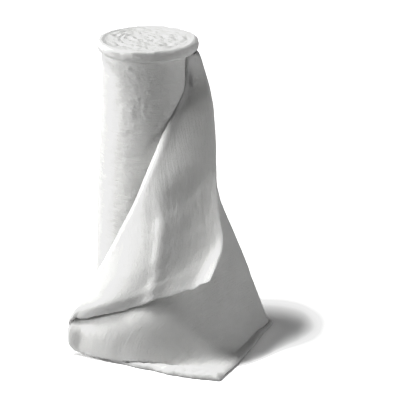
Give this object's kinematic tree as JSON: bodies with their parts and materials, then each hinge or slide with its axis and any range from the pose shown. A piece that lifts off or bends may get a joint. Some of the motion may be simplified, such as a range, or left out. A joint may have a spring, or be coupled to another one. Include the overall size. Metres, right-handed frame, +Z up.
{
  "type": "absorbent cotton roll",
  "caption": "Roll of absorbent cotton web standing on its end, with its loose end drawn off, stood on the floor round the front and folded over on itself.",
  "frame": {"origin": "middle of the wound roll's foot, on the surface that it stands on", "axes": "+Z up the roll's axis; -Y towards the folded loose end, the side it is faced from; +X to the right of that view"},
  "size_m": [0.2083, 0.2177, 0.3015],
  "materials": {
    "wound_cotton": "soft matt carded cotton fibre, wound tight",
    "drawn_cotton": "soft matt carded cotton web, thin enough to let light through"
  },
  "bodies": {
    "root": {"wound_roll": "wound_cotton", "loose_end": "drawn_cotton"}
  },
  "joints": []
}
